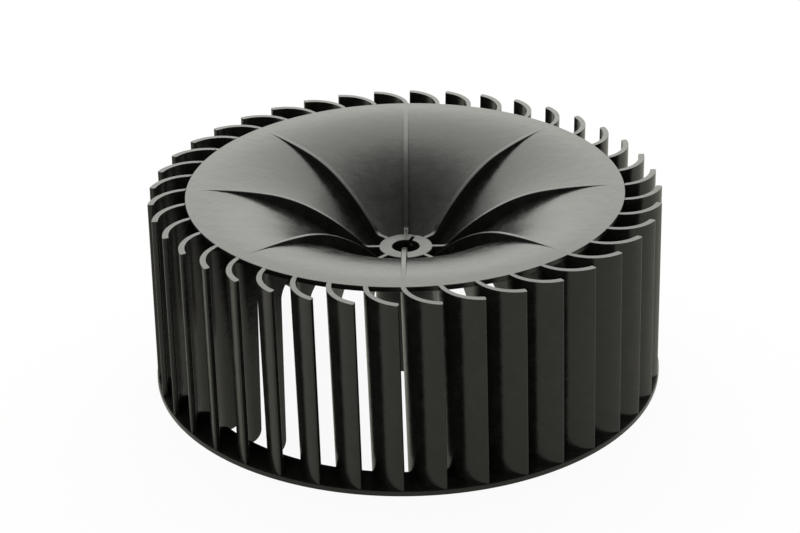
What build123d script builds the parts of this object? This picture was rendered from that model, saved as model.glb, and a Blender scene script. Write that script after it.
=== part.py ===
"""Blower wheel of a tumble dryer: a dished plate with a hub, forty curved blades and a foot ring, all one moulding.

Millimetres. The wheel stands on its foot ring, with the axis on Z and the plate's flat rim at the top.
"""
import math
import os

from build123d import *

# Whole wheel
wheel_height = 73.0

# Foot ring, open in the middle
ring_outer_radius = 95.0
ring_width = 13.0
ring_thickness = 1.9

# Dished plate: flat rim, then an arc, then a straight cone down to the hub
rim_gap = 1.7  # the rim clears the ring's hole, as a mould that opens along the axis needs
rim_width = 4.3
plate_thickness = 2.0
dish_arc_radius = 72.7
cone_angle = 40.0

# Hub: a long tube whose flat top stands above the deepest part of the dish
bore_radius = 5.0
hub_top_wall = 5.0
hub_tube_wall = 6.5
hub_top_rise = 9.18
hub_foot_height = 1.8
slot_length = 3.2
slot_width = 1.2
slot_depth = 2.0
slot_angle = 70.0

# Ribs in the dish: flush with the rim outside, then three arcs down to a small step at the hub
rib_count = 8
rib_thickness = 1.8
rib_flat = 2.0
rib_bend_outer = (0.406, 0.092)  # the two points where the arcs join, as shares of the way in and down
rib_bend_inner = (0.680, 0.348)
rib_step_width = 3.4
rib_step_rise = 2.0
rib_step_run = 2.8
rib_step_radius = 3.6

# Blades: a straight root under the plate, then two arcs that curve forward
blade_count = 40
blade_back_radius = 15.08
blade_face_radius = 13.03
blade_back_offset = 1.12
blade_root_wall = 1.64
blade_tip_wall = 2.27
blade_tip_inset = 1.87
blade_tip_forward = 13.1
blade_tip_chamfer = 0.45
blade_lean_out = 0.35
blade_lean_forward = 1.35

# Inner edge of a blade: a gusset under the plate, a long straight edge and a rounded foot
gusset_reach = 14.0
gusset_depth = 11.5
gusset_inset = 7.1
gusset_radius = 6.5
blade_foot_inset = 4.6
blade_foot_radius = 4.0

ring_inner_radius = ring_outer_radius - ring_width
rim_radius = ring_inner_radius - rim_gap
dish_start_radius = rim_radius - rim_width
hub_top_radius = bore_radius + hub_top_wall
hub_tube_radius = bore_radius + hub_tube_wall
mid_plate = plate_thickness / 2


def dish_depth(radius, under=0.0):
    """Depth below the rim of the dish's top surface, or of the surface that lies so far under it."""
    turn = math.radians(cone_angle)
    arc_radius = dish_arc_radius - under
    inward = dish_start_radius - radius
    arc_run = arc_radius * math.sin(turn)
    if inward <= 0:
        return -under
    if inward <= arc_run:
        return math.sqrt(arc_radius**2 - inward**2) - dish_arc_radius
    return arc_radius * math.cos(turn) - dish_arc_radius - (inward - arc_run) * math.tan(turn)


def dish_point(radius, under=0.0):
    """A point of the dish's section in the XZ plane."""
    return (radius, wheel_height + dish_depth(radius, under))


hub_top_height = dish_point(hub_top_radius)[1] + hub_top_rise


def dish_arc(under=0.0):
    """Inner end, middle and outer end of the dish's arc, or of the parallel arc that lies so far under it."""
    arc_radius = dish_arc_radius - under
    turn = math.radians(cone_angle)
    inner = dish_start_radius - arc_radius * math.sin(turn)
    middle = dish_start_radius - arc_radius * math.sin(turn / 2)
    return [dish_point(radius, under) for radius in (inner, middle, dish_start_radius)]


def plate_body():
    """Dished plate of constant wall with the hub's tube, turned round the axis."""
    top_arc = dish_arc()
    under_arc = dish_arc(plate_thickness)
    rim_top = dish_point(rim_radius)
    rim_under = dish_point(rim_radius, plate_thickness)
    with BuildPart() as body:
        with BuildSketch(Plane.XZ):
            with BuildLine():
                Polyline(
                    (bore_radius, hub_top_height),
                    (hub_top_radius, hub_top_height),
                    dish_point(hub_top_radius),
                    top_arc[0],
                )
                ThreePointArc(*top_arc)
                Polyline(top_arc[2], rim_top, rim_under, under_arc[2])
                ThreePointArc(*reversed(under_arc))
                Polyline(
                    under_arc[0],
                    dish_point(hub_tube_radius, plate_thickness),
                    (hub_tube_radius, hub_foot_height),
                    (bore_radius, hub_foot_height),
                    (bore_radius, hub_top_height),
                )
            make_face()
        revolve(axis=Axis.Z)
    return body.part


def rib_body():
    """One rib on +X, from the middle of the hub's wall to the middle of the flat rim."""
    inner = (bore_radius + hub_top_radius) / 2
    outer = (dish_start_radius + rim_radius) / 2
    step_end = (hub_top_radius + rib_step_width, hub_top_height)
    step_start = (step_end[0] + rib_step_run, step_end[1] + rib_step_rise)
    edge_start = (dish_start_radius - rib_flat, wheel_height)
    run = edge_start[0] - step_start[0]
    drop = edge_start[1] - step_start[1]
    bends = [
        (edge_start[0] - run * share_in, edge_start[1] - drop * share_down)
        for share_in, share_down in (rib_bend_outer, rib_bend_inner)
    ]
    root_arc = dish_arc(mid_plate)
    with BuildPart() as rib:
        with BuildSketch(Plane.XZ):
            with BuildLine():
                Line((outer, wheel_height), edge_start)
                first = TangentArc(edge_start, bends[0], tangent=(-1, 0))
                second = TangentArc(bends[0], bends[1], tangent=first % 1)
                TangentArc(bends[1], step_start, tangent=second % 1)
                RadiusArc(step_start, step_end, -rib_step_radius)
                Polyline(step_end, (inner, hub_top_height), dish_point(inner, mid_plate), root_arc[0])
                ThreePointArc(*root_arc)
                Polyline(root_arc[2], dish_point(outer, mid_plate), (outer, wheel_height))
            make_face()
        extrude(amount=rib_thickness / 2, both=True)
    return rib.part


def blade_outline(plane):
    """Section of the blade on +X, drawn on a plane whose X is out from the axis and whose Y is forward."""
    back_centre = (ring_outer_radius - blade_tip_inset - blade_back_radius, blade_back_radius - blade_back_offset)
    face_centre = (
        ring_outer_radius - blade_tip_inset - blade_tip_wall - blade_face_radius,
        blade_face_radius - blade_back_offset + blade_root_wall,
    )

    def on_arc(centre, radius, forward):
        return (centre[0] + math.sqrt(radius**2 - (forward - centre[1]) ** 2), forward)

    def arc_middle(centre, radius, end):
        half = math.atan2(end[1] - centre[1], end[0] - centre[0]) / 2 - math.pi / 4
        return (centre[0] + radius * math.cos(half), centre[1] + radius * math.sin(half))

    shoulder = blade_tip_forward - blade_tip_chamfer
    back_end = on_arc(back_centre, blade_back_radius, shoulder)
    face_end = on_arc(face_centre, blade_face_radius, shoulder)
    back_start = (back_centre[0], back_centre[1] - blade_back_radius)
    face_start = (face_centre[0], face_centre[1] - blade_face_radius)
    root = rim_radius - gusset_inset - gusset_reach
    with BuildSketch(plane) as section:
        with BuildLine():
            Line((root, back_start[1]), back_start)
            ThreePointArc(back_start, arc_middle(back_centre, blade_back_radius, back_end), back_end)
            Polyline(
                back_end,
                (back_end[0] - blade_tip_chamfer, blade_tip_forward),
                (face_end[0] + blade_tip_chamfer, blade_tip_forward),
                face_end,
            )
            ThreePointArc(face_end, arc_middle(face_centre, blade_face_radius, face_end), face_start)
            Polyline(face_start, (root, face_start[1]), (root, back_start[1]))
        make_face()
    return section.sketch


def blade_body():
    """One blade on +X: its section run along a slightly leaning line, then trimmed to its side view."""
    gusset_root = rim_radius - gusset_inset - gusset_reach
    rim_middle = (dish_start_radius + rim_radius) / 2
    lean = Vector(-blade_lean_out, -blade_lean_forward, wheel_height)
    across = Plane(origin=(0, 0, wheel_height), x_dir=(1, 0, 0), z_dir=lean)
    arc_radius = dish_arc_radius - mid_plate
    arc_middle_radius = (gusset_root + dish_start_radius) / 2
    with BuildPart() as blade:
        extrude(blade_outline(across), amount=lean.length + ring_thickness, both=True)
        with BuildSketch(Plane.XZ):
            with BuildLine():
                FilletPolyline(
                    dish_point(gusset_root, mid_plate),
                    (rim_radius - gusset_inset, wheel_height - gusset_depth),
                    (rim_radius - blade_foot_inset, 0),
                    (ring_outer_radius, 0),
                    radius=[gusset_radius, blade_foot_radius],
                )
                Polyline(
                    (ring_outer_radius, 0),
                    (ring_outer_radius, wheel_height),
                    (rim_middle, wheel_height),
                    dish_point(rim_middle, mid_plate),
                    dish_point(dish_start_radius, mid_plate),
                )
                ThreePointArc(
                    dish_point(dish_start_radius, mid_plate),
                    dish_point(arc_middle_radius, mid_plate),
                    dish_point(gusset_root, mid_plate),
                )
            make_face()
        extrude(amount=blade_tip_forward * 2, both=True, mode=Mode.INTERSECT)
    return blade.part


plate = plate_body()
rib = rib_body()
blade = blade_body()

with BuildPart() as fan_wheel:
    add(plate)
    with PolarLocations(0, rib_count):
        add(rib)
    with BuildSketch(Plane.XY):
        Circle(ring_outer_radius)
        Circle(ring_inner_radius, mode=Mode.SUBTRACT)
    extrude(amount=ring_thickness)
    with PolarLocations(0, blade_count):
        add(blade)
    # Small slot in the hub's flat top, open to the bore
    with Locations(Location((0, 0, hub_top_height), (0, 0, slot_angle))):
        Box(
            bore_radius + slot_length,
            slot_width,
            slot_depth,
            align=(Align.MIN, Align.CENTER, Align.MAX),
            mode=Mode.SUBTRACT,
        )

fan_wheel.part.label = "fan_wheel"
os.makedirs("parts", exist_ok=True)
export_step(fan_wheel.part, "parts/fan_wheel.step")
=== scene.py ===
"""Blower wheel of a tumble dryer, modelled as one satin black moulding, with its pale studio."""

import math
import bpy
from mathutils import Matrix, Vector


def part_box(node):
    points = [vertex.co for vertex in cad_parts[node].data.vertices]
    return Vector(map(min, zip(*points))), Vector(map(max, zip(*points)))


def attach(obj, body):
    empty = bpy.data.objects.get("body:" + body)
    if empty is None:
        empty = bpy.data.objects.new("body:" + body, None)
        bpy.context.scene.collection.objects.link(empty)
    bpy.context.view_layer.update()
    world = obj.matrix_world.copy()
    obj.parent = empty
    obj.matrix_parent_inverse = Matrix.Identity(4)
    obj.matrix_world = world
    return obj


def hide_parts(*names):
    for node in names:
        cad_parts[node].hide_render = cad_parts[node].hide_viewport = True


bl_info = {
    "name": "Dryer Fan Wheel",
    "version": (1, 0, 0),
    "blender": (4, 5, 0),
    "location": "View3D > Sidebar > Fan Wheel",
    "description": "Models the blower wheel of a tumble dryer: dish and hub, ribs, blades and foot ring",
    "category": "Object",
}

import bmesh
import bpy
from bpy.props import FloatProperty, FloatVectorProperty, IntProperty, PointerProperty
from bpy.types import Operator, Panel, PropertyGroup
from mathutils import Matrix, Vector

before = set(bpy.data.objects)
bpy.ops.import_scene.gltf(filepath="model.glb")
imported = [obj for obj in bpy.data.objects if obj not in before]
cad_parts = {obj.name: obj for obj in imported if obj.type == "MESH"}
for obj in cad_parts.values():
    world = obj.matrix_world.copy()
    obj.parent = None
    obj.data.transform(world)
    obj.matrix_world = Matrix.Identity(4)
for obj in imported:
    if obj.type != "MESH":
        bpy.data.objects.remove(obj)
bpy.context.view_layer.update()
wheel_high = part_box("fan_wheel")[1]

NODE = "fan_wheel"
BODY = "root"
MM = 0.001
AXIS = Vector((0.0, 0.0, 1.0))
SIDEWAYS = Vector((0.0, 1.0, 0.0))
CENTRE = Vector((0.0, 0.0, 0.0))

MERGE_REACH = 0.002 * MM  # points of an outline closer than this are one point
TURN_STEPS = 240  # steps of a full turn round the axis
SPARE = 5.0 * MM  # how far a blank runs past what it is trimmed to
SEAM_GAP = 0.02 * MM  # keeps a blade's foot off the foot ring's underside
SMOOTH_ANGLE = math.radians(50.0)  # edges sharper than this stay sharp in the shading
CORNER_ANGLE = math.radians(40.0)  # edges of a blade sharper than this are rounded

# Softboxes behind the wheel, one in front of the other: name, share of the glow, distance from the rim's
# centre in metres, and the lowest and highest elevation and the spread to each side in degrees
SOFTBOXES = (
    ("softbox_core", 0.45, 1.26, 15.0, 62.0, 31.0),
    ("softbox_body", 0.37, 1.30, 5.0, 74.0, 42.0),
    ("softbox_fringe", 0.18, 1.34, -8.0, 93.0, 54.0),
)


def length(name, description, default):
    """A length in metres, shown in the panel with its unit."""
    return FloatProperty(
        name=name, description=description, default=default, min=0.0, unit="LENGTH", precision=5
    )


def share_of(name, description, default):
    """A share between none and all."""
    return FloatProperty(
        name=name, description=description, default=default, min=0.0, max=1.0, subtype="FACTOR"
    )


def angle(name, description, degrees):
    """An angle, given here in degrees."""
    return FloatProperty(name=name, description=description, default=math.radians(degrees), subtype="ANGLE")


def colour(name, description, default):
    """A colour with its alpha."""
    return FloatVectorProperty(name=name, description=description, default=default, subtype="COLOR", size=4)


class WheelSizes(PropertyGroup):
    """Sizes of the plate, the hub and the foot ring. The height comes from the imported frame."""

    height: length("Height", "From the foot ring's underside to the flat rim", wheel_high.z)
    ring_radius: length("Ring radius", "Outer radius of the foot ring", 95.0 * MM)
    ring_width: length("Ring width", "Width of the foot ring's flat band", 13.0 * MM)
    ring_thickness: length("Ring thickness", "Thickness of the foot ring", 1.9 * MM)
    rim_radius: length("Rim radius", "Outer radius of the dished plate", 80.3 * MM)
    dish_start: length("Dish start", "Radius at which the plate begins to fall", 76.0 * MM)
    plate_thickness: length("Plate thickness", "Wall of the dished plate", 2.0 * MM)
    dish_arc: length("Dish arc", "Radius of the dish's arc in section", 72.7 * MM)
    cone_angle: angle("Cone angle", "Slope of the dish's straight part next to the hub", 40.0)
    bore_radius: length("Bore radius", "Radius of the shaft bore", 5.0 * MM)
    hub_radius: length("Hub radius", "Radius of the hub's flat top", 10.0 * MM)
    tube_radius: length("Tube radius", "Radius of the hub's tube under the plate", 11.5 * MM)
    hub_drop: length("Hub drop", "Depth of the hub's top below the rim", 24.0 * MM)
    hub_foot: length("Hub foot", "Height of the tube's lower end", 1.8 * MM)
    slot_length: length("Slot length", "How far the slot in the hub's top runs out from the bore", 3.2 * MM)
    slot_width: length("Slot width", "Width of the slot", 1.4 * MM)
    slot_depth: length("Slot depth", "Depth of the slot", 2.0 * MM)
    slot_angle: angle("Slot angle", "Where the slot lies round the axis", 70.0)
    edge: length("Edge rounding", "Radius of the small rounding on moulded edges", 0.35 * MM)
    rim_edge: length("Rim rounding", "Radius of the rounding on the flat rim and the foot ring", 0.21 * MM)


class RibSizes(PropertyGroup):
    """Sizes of the ribs in the dish."""

    count: IntProperty(name="Ribs", description="Number of ribs", default=8, min=1)
    thickness: length("Thickness", "Thickness of a rib", 1.8 * MM)
    flat: length("Flat", "Length over which a rib stays level with the rim", 2.0 * MM)
    bend_outer: FloatVectorProperty(
        name="Outer bend",
        description="Where a rib's first two arcs join, as shares of the way in and of the way down",
        default=(0.406, 0.092),
        size=2,
    )
    bend_inner: FloatVectorProperty(
        name="Inner bend",
        description="Where a rib's last two arcs join, as shares of the way in and of the way down",
        default=(0.680, 0.348),
        size=2,
    )
    step_width: length("Step width", "Length of the level step beside the hub", 3.4 * MM)
    step_rise: length("Step rise", "Height of the hollow that ends at the step", 2.0 * MM)
    step_run: length("Step run", "Length of the hollow that ends at the step", 2.8 * MM)
    edge: length("Edge rounding", "Radius of the rounding along a rib's top", 0.3 * MM)


class BladeSizes(PropertyGroup):
    """Sizes of the blades round the plate."""

    count: IntProperty(name="Blades", description="Number of blades", default=40, min=1)
    back_radius: length("Back radius", "Radius of a blade's outer, convex side", 15.08 * MM)
    face_radius: length("Face radius", "Radius of a blade's inner, hollow side", 13.03 * MM)
    back_offset: length("Back offset", "How far the straight root's back lies behind the radius", 1.02 * MM)
    root_wall: length("Root wall", "Thickness of the straight root", 1.64 * MM)
    tip_wall: length("Tip wall", "Thickness of a blade at its tip", 2.27 * MM)
    tip_inset: length("Tip inset", "How far a blade's tip stays inside the foot ring", 1.87 * MM)
    tip_forward: length("Tip forward", "How far a blade's tip reaches round the wheel", 13.1 * MM)
    tip_rounding: length("Tip rounding", "Radius of the rounding down a blade's tip", 0.6 * MM)
    twist: angle("Twist", "Turn of a blade about its root, from top to foot", -2.0)
    lean_out: length("Lean out", "How far a blade's foot lies outside its top", 0.25 * MM)
    lean_forward: length("Lean forward", "How far a blade's foot lies ahead of its top", 1.65 * MM)
    gusset_reach: length("Gusset reach", "How far the gusset runs in under the plate", 14.0 * MM)
    gusset_depth: length("Gusset depth", "Depth of the gusset's corner below the rim", 11.5 * MM)
    gusset_inset: length("Gusset inset", "How far the gusset's corner lies inside the rim", 7.1 * MM)
    gusset_rounding: length("Gusset rounding", "Radius of the gusset's corner", 6.5 * MM)
    foot_inset: length("Foot inset", "How far a blade's inner edge lies inside the rim at the foot", 4.6 * MM)
    foot_rounding: length("Foot rounding", "Radius of the inner corner at the foot", 4.0 * MM)
    edge: length("Edge rounding", "Radius of the small rounding on a blade's edges", 0.3 * MM)


class PlasticFinish(PropertyGroup):
    """Colour and surface of the black plastic."""

    colour: colour("Colour", "Colour of the plastic", (0.0130, 0.0130, 0.0115, 1.0))
    bloom: colour("Bloom", "Colour where the skin is a little duller", (0.0280, 0.0280, 0.0254, 1.0))
    roughness: share_of("Roughness", "Roughness of the moulded skin", 0.18)
    dull_roughness: share_of("Dull roughness", "Roughness where the skin is duller", 0.27)
    grain_depth: length("Grain depth", "Height of the skin's fine grain", 0.02 * MM)
    waviness: FloatProperty(
        name="Waviness",
        description="Height of the skin's slow waves as a multiple of its grain",
        default=26.0,
        min=0.0,
    )


class StudioSetting(PropertyGroup):
    """Floor, backdrop, light and camera."""

    floor_reach: length("Floor reach", "Half the width of the floor", 0.65)
    floor_gap: length("Floor gap", "How far the floor lies under the foot ring", 0.2 * MM)
    floor_colour: colour("Floor", "Colour of the floor", (0.38, 0.375, 0.345, 1.0))
    seen_share: share_of("Seen white", "Share of the floor that the camera sees as plain white", 0.94)
    mirrored_share: share_of("Mirrored white", "Share of the floor that reflections see as white", 0.49)
    mirrored_colour: colour("Mirrored colour", "Colour of that white", (1.0, 0.985, 0.86, 1.0))
    surround: FloatProperty(
        name="Surround", description="Strength of the even light from all round", default=0.38, min=0.0
    )
    glow: FloatProperty(
        name="Glow",
        description="Brightness of the softboxes behind the wheel, which its upper skin mirrors",
        default=2.45,
        min=0.0,
    )
    glow_colour: FloatVectorProperty(
        name="Glow colour",
        description="Colour of the softboxes",
        subtype="COLOR",
        size=3,
        default=(1.0, 1.0, 0.93),
    )
    lens: FloatProperty(
        name="Lens", description="Focal length in millimetres", default=97.5, min=1.0, unit="CAMERA"
    )
    camera_place: FloatVectorProperty(
        name="Camera place",
        description="Where the camera stands",
        default=(0.0101, -0.7218, 0.4033),
        subtype="XYZ_LENGTH",
    )
    camera_turn: FloatVectorProperty(
        name="Camera turn",
        description="Tilt, roll and pan of the camera",
        default=(math.radians(63.306), math.radians(0.997), math.radians(0.484)),
        subtype="EULER",
    )


def sizes():
    return bpy.context.scene.fan_wheel_sizes


def rib_sizes():
    return bpy.context.scene.fan_wheel_ribs


def blade_sizes():
    return bpy.context.scene.fan_wheel_blades


def finish():
    return bpy.context.scene.fan_wheel_finish


def studio():
    return bpy.context.scene.fan_wheel_studio


# Outlines: loops of edges made from straight runs and spun arcs


def draw_outline(bm, start, moves, axis):
    """Closed loop of edges. A move is a point to run to, or the centre, angle and steps of an arc."""
    first = bm.verts.new(start)
    here = first
    for move in moves:
        if isinstance(move, tuple):
            centre, turn, steps = move
            made = bmesh.ops.spin(bm, geom=[here], cent=centre, axis=axis, angle=turn, steps=steps)
            here = [item for item in made["geom_last"] if isinstance(item, bmesh.types.BMVert)][0]
        else:
            there = bm.verts.new(move)
            bm.edges.new((here, there))
            here = there
    bm.edges.new((here, first))
    bmesh.ops.remove_doubles(bm, verts=bm.verts, dist=MERGE_REACH)


def round_corner(bm, place, reach, steps):
    """Rounds the outline's corner at a place, starting that far from it along both sides."""
    corner = min(bm.verts, key=lambda vert: (vert.co - place).length)
    bmesh.ops.bevel(
        bm,
        geom=[corner],
        offset=reach,
        offset_type="OFFSET",
        segments=steps,
        profile=0.5,
        affect="VERTICES",
        material=-1,
        clamp_overlap=True,
    )


def fill_outline(bm):
    """The flat face inside the outline."""
    made = bmesh.ops.contextual_create(bm, geom=bm.edges[:])
    return made["faces"]


def turn_outline(bm):
    """Spins the outline once round the wheel's axis into a closed skin."""
    bmesh.ops.spin(
        bm,
        geom=bm.verts[:] + bm.edges[:],
        cent=CENTRE,
        axis=AXIS,
        angle=math.tau,
        steps=TURN_STEPS,
        use_merge=True,
    )
    bmesh.ops.remove_doubles(bm, verts=bm.verts, dist=MERGE_REACH)
    bmesh.ops.recalc_face_normals(bm, faces=bm.faces)


def thicken_face(bm, faces, shift):
    """Draws a flat face out into a closed prism."""
    made = bmesh.ops.extrude_face_region(bm, geom=faces)
    moved = [item for item in made["geom"] if isinstance(item, bmesh.types.BMVert)]
    bmesh.ops.translate(bm, verts=moved, vec=shift)
    bmesh.ops.recalc_face_normals(bm, faces=bm.faces)


def repeat_round(bm, count):
    """Copies everything round the wheel's axis."""
    seed = bm.verts[:] + bm.edges[:] + bm.faces[:]
    for index in range(1, count):
        made = bmesh.ops.duplicate(bm, geom=seed)
        moved = [item for item in made["geom"] if isinstance(item, bmesh.types.BMVert)]
        turn = Matrix.Rotation(math.tau * index / count, 3, "Z")
        bmesh.ops.rotate(bm, verts=moved, cent=CENTRE, matrix=turn)


def soften_edges(bm, edges, reach, steps):
    """Rounds these edges to a small radius."""
    bmesh.ops.bevel(
        bm,
        geom=edges,
        offset=reach,
        offset_type="OFFSET",
        segments=steps,
        profile=0.5,
        affect="EDGES",
        material=-1,
        clamp_overlap=True,
        loop_slide=True,
    )


# Dish section


def dish_depth(radius, under=0.0):
    """Depth below the rim of the dish's top, or of the surface that lies so far under it."""
    s = sizes()
    arc = s.dish_arc - under
    inward = s.dish_start - radius
    run = arc * math.sin(s.cone_angle)
    if inward <= 0.0:
        return -under
    if inward <= run:
        return math.sqrt(arc * arc - inward * inward) - s.dish_arc
    return arc * math.cos(s.cone_angle) - s.dish_arc - (inward - run) * math.tan(s.cone_angle)


def dish_point(radius, under=0.0):
    """A point of the dish's top, or of the surface that lies so far under it."""
    return Vector((radius, 0.0, sizes().height + dish_depth(radius, under)))


def section_point(radius, height):
    """A point of the wheel's section on +X."""
    return Vector((radius, 0.0, height))


# Objects and materials


def wheel_object(name, bm):
    """Finishes a piece of the moulding: smooth skin, plastic, and its place in the frame."""
    mesh = bpy.data.meshes.new(name)
    bm.to_mesh(mesh)
    bm.free()
    mesh.shade_smooth()
    mesh.set_sharp_from_angle(angle=SMOOTH_ANGLE)
    piece = bpy.data.objects.new(name, mesh)
    bpy.context.scene.collection.objects.link(piece)
    modifier = piece.modifiers.new("Even shading", "WEIGHTED_NORMAL")
    modifier.keep_sharp = True
    mesh.materials.append(black_plastic())
    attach(piece, BODY)
    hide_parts(NODE)
    return piece


def cut_mesh(bm, cutter, operation):
    """Replaces the mesh in bm by the result of an exact Boolean with the cutter."""
    objects = []
    for name, source in (("blank", bm), ("cutter", cutter)):
        mesh = bpy.data.meshes.new(name)
        source.to_mesh(mesh)
        item = bpy.data.objects.new(name, mesh)
        bpy.context.scene.collection.objects.link(item)
        objects.append(item)
    blank, tool = objects
    modifier = blank.modifiers.new("Cut", "BOOLEAN")
    modifier.operation = operation
    modifier.solver = "EXACT"
    modifier.object = tool
    depsgraph = bpy.context.evaluated_depsgraph_get()
    result = bpy.data.meshes.new_from_object(blank.evaluated_get(depsgraph))
    bm.clear()
    bm.from_mesh(result)
    cutter.free()
    meshes = [item.data for item in objects] + [result]
    for item in objects:
        bpy.data.objects.remove(item)
    for mesh in meshes:
        bpy.data.meshes.remove(mesh)
    bmesh.ops.remove_doubles(bm, verts=bm.verts, dist=MERGE_REACH / 2)


def add_node(tree, kind, place, **values):
    """A node with some of its settings and plain input values set."""
    node = tree.nodes.new(kind)
    node.location = place
    for key, value in values.items():
        if hasattr(node, key):
            setattr(node, key, value)
        else:
            node.inputs[key.replace("_", " ").title()].default_value = value
    return node


def black_plastic():
    """Satin black moulded plastic: near-black, with a faint uneven bloom, slow waves and a fine grain."""
    known = bpy.data.materials.get("Black plastic")
    if known:
        return known
    f = finish()
    material = bpy.data.materials.new("Black plastic")
    material.use_nodes = True
    tree = material.node_tree
    tree.nodes.clear()
    output = add_node(tree, "ShaderNodeOutputMaterial", (700, 0))
    shader = add_node(tree, "ShaderNodeBsdfPrincipled", (400, 0))
    shader.inputs["IOR"].default_value = 1.5
    place = add_node(tree, "ShaderNodeTexCoord", (-900, 0))
    cloud = add_node(tree, "ShaderNodeTexNoise", (-650, 150), scale=190.0, detail=7.0, roughness=0.65)
    grain = add_node(tree, "ShaderNodeTexNoise", (-650, -250), scale=1400.0, detail=3.0, roughness=0.6)
    patches = add_node(tree, "ShaderNodeMapRange", (-300, 250))
    patches.inputs["From Min"].default_value = 0.45
    patches.inputs["From Max"].default_value = 0.75
    tint = add_node(tree, "ShaderNodeMix", (0, 200), data_type="RGBA")
    tint.inputs["A"].default_value = f.colour
    tint.inputs["B"].default_value = f.bloom
    sheen = add_node(tree, "ShaderNodeMapRange", (0, -50))
    sheen.inputs["From Min"].default_value = 0.3
    sheen.inputs["From Max"].default_value = 0.7
    sheen.inputs["To Min"].default_value = f.roughness
    sheen.inputs["To Max"].default_value = f.dull_roughness
    skin = add_node(tree, "ShaderNodeMath", (-150, -300), operation="MULTIPLY_ADD")
    skin.inputs[1].default_value = f.waviness
    bump = add_node(tree, "ShaderNodeBump", (150, -300))
    bump.inputs["Strength"].default_value = 0.25
    bump.inputs["Distance"].default_value = f.grain_depth
    links = tree.links
    links.new(place.outputs["Object"], cloud.inputs["Vector"])
    links.new(place.outputs["Object"], grain.inputs["Vector"])
    links.new(cloud.outputs["Fac"], patches.inputs["Value"])
    links.new(patches.outputs["Result"], tint.inputs["Factor"])
    links.new(cloud.outputs["Fac"], sheen.inputs["Value"])
    links.new(cloud.outputs["Fac"], skin.inputs[0])
    links.new(grain.outputs["Fac"], skin.inputs[2])
    links.new(skin.outputs[0], bump.inputs["Height"])
    links.new(tint.outputs["Result"], shader.inputs["Base Color"])
    links.new(sheen.outputs["Result"], shader.inputs["Roughness"])
    links.new(bump.outputs["Normal"], shader.inputs["Normal"])
    links.new(shader.outputs["BSDF"], output.inputs["Surface"])
    return material


class FANWHEEL_OT_dish(Operator):
    """Turn the dished plate with its hub, and cut the small slot in the hub's top"""

    bl_idname = "fanwheel.dish"
    bl_label = "Dish and Hub"

    def execute(self, context):
        s = sizes()
        hub_top = s.height - s.hub_drop
        centre = section_point(s.dish_start, s.height - s.dish_arc)
        arc_end = s.dish_start - s.dish_arc * math.sin(s.cone_angle)
        bm = bmesh.new()
        draw_outline(
            bm,
            section_point(s.bore_radius, hub_top),
            [
                section_point(s.hub_radius, hub_top),
                dish_point(s.hub_radius),
                dish_point(arc_end),
                (centre, s.cone_angle, 36),
                dish_point(s.rim_radius),
                dish_point(s.rim_radius, s.plate_thickness),
                dish_point(s.dish_start, s.plate_thickness),
                (centre, -s.cone_angle, 36),
                dish_point(s.tube_radius, s.plate_thickness),
                section_point(s.tube_radius, s.hub_foot),
                section_point(s.bore_radius, s.hub_foot),
            ],
            SIDEWAYS,
        )
        for place, reach in (
            (section_point(s.bore_radius, hub_top), s.edge),
            (section_point(s.hub_radius, hub_top), s.edge),
            (dish_point(s.hub_radius), 2 * s.edge),
            (dish_point(s.rim_radius), s.rim_edge),
            (dish_point(s.rim_radius, s.plate_thickness), s.edge),
            (dish_point(s.tube_radius, s.plate_thickness), 2 * s.edge),
            (section_point(s.tube_radius, s.hub_foot), s.edge),
            (section_point(s.bore_radius, s.hub_foot), s.edge),
        ):
            round_corner(bm, place, reach, 4)
        turn_outline(bm)
        slot = bmesh.new()
        reach = s.bore_radius + s.slot_length
        bmesh.ops.create_cube(slot, size=1.0)
        bmesh.ops.scale(slot, verts=slot.verts, vec=(reach, s.slot_width, 2 * s.slot_depth))
        bmesh.ops.translate(slot, verts=slot.verts, vec=(reach / 2, 0.0, hub_top))
        bmesh.ops.rotate(slot, verts=slot.verts, cent=CENTRE, matrix=Matrix.Rotation(s.slot_angle, 3, "Z"))
        cut_mesh(bm, slot, "DIFFERENCE")
        wheel_object("dish_and_hub", bm)
        return {"FINISHED"}


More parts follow.
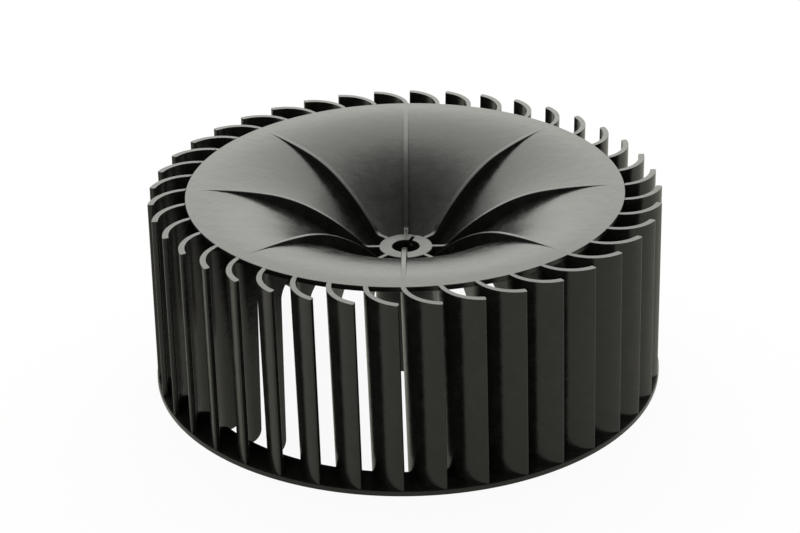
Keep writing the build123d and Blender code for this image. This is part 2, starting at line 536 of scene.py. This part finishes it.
class FANWHEEL_OT_ribs(Operator):
    """Draw one rib from its side view and copy it round the dish"""

    bl_idname = "fanwheel.ribs"
    bl_label = "Ribs"

    def execute(self, context):
        s = sizes()
        r = rib_sizes()
        hub_top = s.height - s.hub_drop
        inner = s.hub_radius - s.edge
        step_end = section_point(s.hub_radius + r.step_width, hub_top)
        step_start = step_end + Vector((r.step_run, 0.0, r.step_rise))
        edge_start = section_point(s.dish_start - r.flat, s.height)
        run = edge_start.x - step_start.x
        drop = edge_start.z - step_start.z
        bends = [
            section_point(edge_start.x - run * share_in, edge_start.z - drop * share_down)
            for share_in, share_down in (r.bend_outer, r.bend_inner)
        ]
        moves = [edge_start]
        heading = Vector((-1.0, 0.0, 0.0))
        here = edge_start
        for there, steps in ((bends[0], 8), (bends[1], 10), (step_start, 14)):
            centre, turn = tangent_arc(here, there, heading)
            moves.append((centre, turn, steps))
            heading = Matrix.Rotation(turn, 3, "Y") @ heading
            here = there
        centre, turn = tangent_arc(step_end, step_start, Vector((1.0, 0.0, 0.0)))
        moves.append((centre, -turn, 8))
        # The rib's lower side follows the middle of the plate's wall, so it stays hidden
        moves += [section_point(inner, hub_top), dish_point(inner, s.plate_thickness / 2)]
        for share in (math.sin(s.cone_angle), 0.5, 0.35, 0.2, 0.0):
            moves.append(dish_point(s.dish_start - s.dish_arc * share, s.plate_thickness / 2))
        bm = bmesh.new()
        draw_outline(bm, section_point(s.dish_start, s.height), moves, SIDEWAYS)
        faces = fill_outline(bm)
        bmesh.ops.translate(bm, verts=bm.verts, vec=SIDEWAYS * (-r.thickness / 2))
        thicken_face(bm, faces, SIDEWAYS * r.thickness)
        soften_edges(bm, [edge for edge in bm.edges if self.is_top(edge)], r.edge, 3)
        repeat_round(bm, r.count)
        wheel_object("dish_ribs", bm)
        return {"FINISHED"}

    def is_top(self, edge):
        """Whether an edge runs along the rib's upper side."""
        middle = (edge.verts[0].co + edge.verts[1].co) / 2
        lengthwise = abs(edge.verts[0].co.y - edge.verts[1].co.y) < 0.1 * MM
        return lengthwise and middle.z > dish_point(middle.x).z and edge.calc_length() > 0.05 * MM


def tangent_arc(start, end, heading):
    """Centre and angle about +Y of the arc that leaves start along heading and reaches end."""
    chord = end - start
    side = SIDEWAYS.cross(heading).normalized()
    radius = chord.length_squared / (2.0 * chord.dot(side))
    centre = start + side * radius
    spoke_start = start - centre
    spoke_end = end - centre
    turn = math.atan2(SIDEWAYS.dot(spoke_start.cross(spoke_end)), spoke_start.dot(spoke_end))
    return centre, turn


class FANWHEEL_OT_blades(Operator):
    """Run a blade's section down to the foot, trim it to its side view and copy it round the plate"""

    bl_idname = "fanwheel.blades"
    bl_label = "Blades"

    def execute(self, context):
        s = sizes()
        b = blade_sizes()
        bm = bmesh.new()
        self.draw_section(bm)
        faces = fill_outline(bm)
        thicken_face(bm, faces, AXIS * -(s.height + 2 * SPARE))
        cut_mesh(bm, self.side_view(), "INTERSECT")
        soften_edges(bm, [edge for edge in bm.edges if self.is_open_corner(edge)], b.edge, 2)
        root = Vector((s.dish_start, 0.0, 0.0))
        for vert in bm.verts:
            share = 1.0 - vert.co.z / s.height
            turned = Matrix.Rotation(b.twist * share, 3, "Z") @ (vert.co - root)
            vert.co = root + turned + Vector((b.lean_out, b.lean_forward, 0.0)) * share
        bmesh.ops.recalc_face_normals(bm, faces=bm.faces)
        repeat_round(bm, b.count)
        wheel_object("blades", bm)
        return {"FINISHED"}

    def is_open_corner(self, edge):
        """Whether an edge is a sharp one that the plate doesn't hide."""
        s = sizes()
        if len(edge.link_faces) != 2 or edge.calc_face_angle() <= CORNER_ANGLE:
            return False
        outside = min(vert.co.x for vert in edge.verts) > s.rim_radius - s.rim_edge
        below = max(vert.co.z for vert in edge.verts) < s.height - s.plate_thickness
        return outside or below

    def draw_section(self, bm):
        """Section of the blade on +X, above the rim: a straight root and two arcs to the tip."""
        s = sizes()
        b = blade_sizes()
        top = s.height + SPARE
        tip = s.ring_radius - b.tip_inset
        back = Vector((tip - b.back_radius, b.back_radius - b.back_offset, top))
        face = Vector((tip - b.tip_wall - b.face_radius, b.face_radius - b.back_offset + b.root_wall, top))
        root = s.rim_radius - b.gusset_inset - b.gusset_reach
        back_angle = math.pi / 2 + math.asin((b.tip_forward - back.y) / b.back_radius)
        face_angle = math.pi / 2 + math.asin((b.tip_forward - face.y) / b.face_radius)
        back_start = back - Vector((0.0, b.back_radius, 0.0))
        face_start = face - Vector((0.0, b.face_radius, 0.0))
        face_end = face + Matrix.Rotation(face_angle, 3, "Z") @ (face_start - face)
        back_end = back + Matrix.Rotation(back_angle, 3, "Z") @ (back_start - back)
        draw_outline(
            bm,
            Vector((root, back_start.y, top)),
            [
                back_start,
                (back, back_angle, 30),
                face_end,
                (face, -face_angle, 30),
                Vector((root, face_start.y, top)),
            ],
            AXIS,
        )
        round_corner(bm, back_end, b.tip_rounding, 4)
        round_corner(bm, face_end, b.tip_rounding, 4)

    def side_view(self):
        """Solid that trims a blade to its side view: gusset, long inner edge and rounded foot."""
        s = sizes()
        b = blade_sizes()
        root = s.rim_radius - b.gusset_inset - b.gusset_reach
        outside = s.ring_radius + SPARE
        knee = section_point(s.rim_radius - b.gusset_inset, s.height - b.gusset_depth)
        heel = section_point(s.rim_radius - b.foot_inset, SEAM_GAP)
        rim_line = s.rim_radius - s.rim_edge
        start = dish_point(root, s.plate_thickness / 2)
        bm = bmesh.new()
        draw_outline(
            bm,
            start,
            [
                knee,
                heel,
                section_point(outside, SEAM_GAP),
                section_point(outside, s.height),
                section_point(rim_line, s.height),
                dish_point(rim_line, s.plate_thickness / 2),
                dish_point(s.dish_start, s.plate_thickness / 2),
                dish_point((root + s.dish_start) / 2, s.plate_thickness / 2),
            ],
            SIDEWAYS,
        )
        knee_turn = (knee - start).angle(heel - knee)
        foot_turn = (heel - knee).angle(Vector((1.0, 0.0, 0.0)))
        round_corner(bm, knee, b.gusset_rounding * math.tan(knee_turn / 2), 10)
        round_corner(bm, heel, b.foot_rounding * math.tan(foot_turn / 2), 8)
        faces = fill_outline(bm)
        width = b.tip_forward * 2
        bmesh.ops.translate(bm, verts=bm.verts, vec=SIDEWAYS * -width)
        thicken_face(bm, faces, SIDEWAYS * (2 * width))
        return bm


class FANWHEEL_OT_ring(Operator):
    """Turn the flat foot ring"""

    bl_idname = "fanwheel.ring"
    bl_label = "Foot Ring"

    def execute(self, context):
        s = sizes()
        inner = s.ring_radius - s.ring_width
        corners = [
            section_point(inner, 0.0),
            section_point(s.ring_radius, 0.0),
            section_point(s.ring_radius, s.ring_thickness),
            section_point(inner, s.ring_thickness),
        ]
        bm = bmesh.new()
        draw_outline(bm, corners[0], corners[1:], SIDEWAYS)
        for corner in corners:
            round_corner(bm, corner, s.rim_edge, 4)
        turn_outline(bm)
        wheel_object("foot_ring", bm)
        return {"FINISHED"}


class FANWHEEL_OT_stage(Operator):
    """Set the pale floor, the surround, the softboxes and the camera"""

    bl_idname = "fanwheel.stage"
    bl_label = "Stage"

    def execute(self, context):
        self.make_floor()
        self.make_surround()
        self.make_lights()
        self.make_camera()
        context.scene.view_settings.view_transform = "Standard"
        return {"FINISHED"}

    def make_floor(self):
        bm = bmesh.new()
        bmesh.ops.create_grid(bm, x_segments=1, y_segments=1, size=studio().floor_reach)
        bmesh.ops.translate(bm, verts=bm.verts, vec=AXIS * -studio().floor_gap)
        mesh = bpy.data.meshes.new("floor")
        bm.to_mesh(mesh)
        bm.free()
        floor = bpy.data.objects.new("floor", mesh)
        bpy.context.scene.collection.objects.link(floor)
        material = bpy.data.materials.new("Pale floor")
        material.use_nodes = True
        tree = material.node_tree
        tree.nodes.clear()
        output = add_node(tree, "ShaderNodeOutputMaterial", (600, 0))
        mix = add_node(tree, "ShaderNodeMixShader", (400, 0))
        paper = add_node(tree, "ShaderNodeBsdfDiffuse", (0, 100))
        white = add_node(tree, "ShaderNodeEmission", (0, -100), strength=1.0)
        seen = add_node(tree, "ShaderNodeLightPath", (-300, 0))
        mirrored = add_node(tree, "ShaderNodeMath", (-150, 300), operation="MULTIPLY")
        mirrored.inputs[1].default_value = studio().mirrored_share
        share = add_node(tree, "ShaderNodeMath", (100, 300), operation="MULTIPLY_ADD")
        share.inputs[1].default_value = studio().seen_share
        tree.links.new(seen.outputs["Is Glossy Ray"], mirrored.inputs[0])
        tree.links.new(seen.outputs["Is Camera Ray"], share.inputs[0])
        tree.links.new(mirrored.outputs[0], share.inputs[2])
        tree.links.new(share.outputs[0], mix.inputs["Fac"])
        for shader, unseen in ((paper, studio().floor_colour), (white, studio().mirrored_colour)):
            tint = add_node(tree, "ShaderNodeMix", (-200, shader.location.y), data_type="RGBA")
            tint.inputs["A"].default_value = unseen
            tint.inputs["B"].default_value = (1.0, 1.0, 1.0, 1.0)
            tree.links.new(seen.outputs["Is Camera Ray"], tint.inputs["Factor"])
            tree.links.new(tint.outputs["Result"], shader.inputs["Color"])
        tree.links.new(paper.outputs[0], mix.inputs[1])
        tree.links.new(white.outputs[0], mix.inputs[2])
        tree.links.new(mix.outputs[0], output.inputs["Surface"])
        mesh.materials.append(material)

    def make_surround(self):
        """An even grey surround that the camera sees as white."""
        world = bpy.data.worlds.new("Studio")
        bpy.context.scene.world = world
        world.use_nodes = True
        tree = world.node_tree
        tree.nodes.clear()
        output = add_node(tree, "ShaderNodeOutputWorld", (600, 0))
        seen = add_node(tree, "ShaderNodeLightPath", (-600, 0))
        either = add_node(tree, "ShaderNodeMath", (-300, 100), operation="MAXIMUM")
        light = add_node(tree, "ShaderNodeBackground", (100, 100))
        light.inputs["Strength"].default_value = studio().surround
        white = add_node(tree, "ShaderNodeBackground", (100, -100))
        mix = add_node(tree, "ShaderNodeMixShader", (350, 0))
        light.inputs["Color"].default_value = (1.0, 1.0, 1.0, 1.0)
        white.inputs["Color"].default_value = (1.0, 1.0, 1.0, 1.0)
        tree.links.new(seen.outputs["Is Camera Ray"], either.inputs[0])
        tree.links.new(seen.outputs["Is Transmission Ray"], either.inputs[1])
        tree.links.new(either.outputs[0], mix.inputs["Fac"])
        tree.links.new(light.outputs[0], mix.inputs[1])
        tree.links.new(white.outputs[0], mix.inputs[2])
        tree.links.new(mix.outputs[0], output.inputs["Surface"])

    def make_lights(self):
        """The softboxes together are bright in the middle and fainter towards their edges."""
        for name, share, distance, low, high, spread in SOFTBOXES:
            self.softbox(name, share, distance, math.radians(low), math.radians(high), math.radians(spread))

    def softbox(self, name, share, distance, low, high, spread):
        """A rectangular lamp that covers these elevations, and the spread to each side of straight behind."""
        elevation = (low + high) / 2
        lamp = bpy.data.lights.new(name, "AREA")
        lamp.shape = "RECTANGLE"
        lamp.size = 2 * distance * math.tan(spread)
        lamp.size_y = 2 * distance * math.tan((high - low) / 2)
        lamp.color = studio().glow_colour
        lamp.energy = share * studio().glow * math.pi * lamp.size * lamp.size_y
        item = bpy.data.objects.new(name, lamp)
        bpy.context.scene.collection.objects.link(item)
        away = Vector((0.0, math.cos(elevation), math.sin(elevation)))
        item.location = section_point(0.0, sizes().height) + away * distance
        item.rotation_euler = (-away).to_track_quat("-Z", "Y").to_euler()

    def make_camera(self):
        camera = bpy.data.cameras.new("camera")
        camera.sensor_width = 36.0
        camera.lens = studio().lens
        item = bpy.data.objects.new("camera", camera)
        bpy.context.scene.collection.objects.link(item)
        item.location = studio().camera_place
        item.rotation_euler = studio().camera_turn
        bpy.context.scene.camera = item


class FANWHEEL_PT_panel(Panel):
    """Lists the wheel's pieces and its stage"""

    bl_idname = "FANWHEEL_PT_panel"
    bl_label = "Dryer Fan Wheel"
    bl_space_type = "VIEW_3D"
    bl_region_type = "UI"
    bl_category = "Fan Wheel"

    def draw(self, context):
        column = self.layout.column()
        for operator in OPERATORS:
            column.operator(operator.bl_idname)


OPERATORS = (FANWHEEL_OT_dish, FANWHEEL_OT_ribs, FANWHEEL_OT_blades, FANWHEEL_OT_ring, FANWHEEL_OT_stage)
SETTINGS = {
    "fan_wheel_sizes": WheelSizes,
    "fan_wheel_ribs": RibSizes,
    "fan_wheel_blades": BladeSizes,
    "fan_wheel_finish": PlasticFinish,
    "fan_wheel_studio": StudioSetting,
}


def register():
    for name, group in SETTINGS.items():
        bpy.utils.register_class(group)
        setattr(bpy.types.Scene, name, PointerProperty(type=group))
    for item in OPERATORS + (FANWHEEL_PT_panel,):
        bpy.utils.register_class(item)


def unregister():
    for item in reversed(OPERATORS + (FANWHEEL_PT_panel,)):
        bpy.utils.unregister_class(item)
    for name, group in reversed(SETTINGS.items()):
        delattr(bpy.types.Scene, name)
        bpy.utils.unregister_class(group)


def main():
    """Registers the classes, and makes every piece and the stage."""
    register()
    bpy.ops.fanwheel.dish()
    bpy.ops.fanwheel.ribs()
    bpy.ops.fanwheel.blades()
    bpy.ops.fanwheel.ring()
    bpy.ops.fanwheel.stage()


if __name__ == "__main__":
    main()
